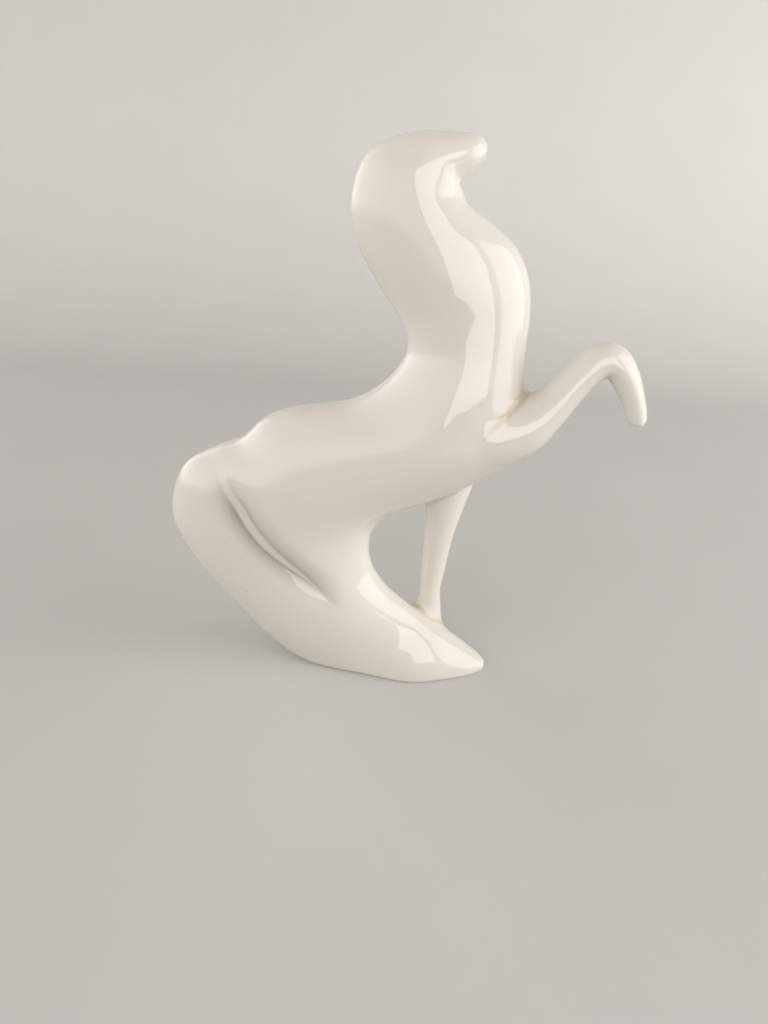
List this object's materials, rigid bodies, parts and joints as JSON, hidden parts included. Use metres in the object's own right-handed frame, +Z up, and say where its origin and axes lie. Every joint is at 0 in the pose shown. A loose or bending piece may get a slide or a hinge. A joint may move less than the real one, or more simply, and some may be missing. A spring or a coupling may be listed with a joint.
{
  "type": "porcelain horse figurine",
  "caption": "Stylised rearing horse ornament in white glazed porcelain, standing on a long pointed foot and a straight foreleg, with the other foreleg raised and a swept mane.",
  "frame": {"origin": "on the flat sole, in the plane that halves the body, under the belly arch", "axes": "+X towards the muzzle and the toe, +Y to the side of the standing foreleg, +Z up"},
  "size_m": [0.1746, 0.04, 0.2001],
  "materials": {
    "glazed_porcelain": "clear gloss glaze over a warm white body",
    "fired_slip": "matt fired slip"
  },
  "bodies": {
    "root": {"head": "glazed_porcelain", "neck": "glazed_porcelain", "trunk": "glazed_porcelain", "haunch": "glazed_porcelain", "tail": "glazed_porcelain", "hind_foot": "glazed_porcelain", "raised_foreleg": "glazed_porcelain", "standing_foreleg": "glazed_porcelain", "slip_poll": "fired_slip", "slip_collar": "fired_slip", "slip_flank": "fired_slip", "slip_heel": "fired_slip", "slip_elbow": "fired_slip", "slip_strut_top": "fired_slip", "slip_strut_foot": "fired_slip", "slip_tail": "fired_slip"}
  },
  "joints": []
}
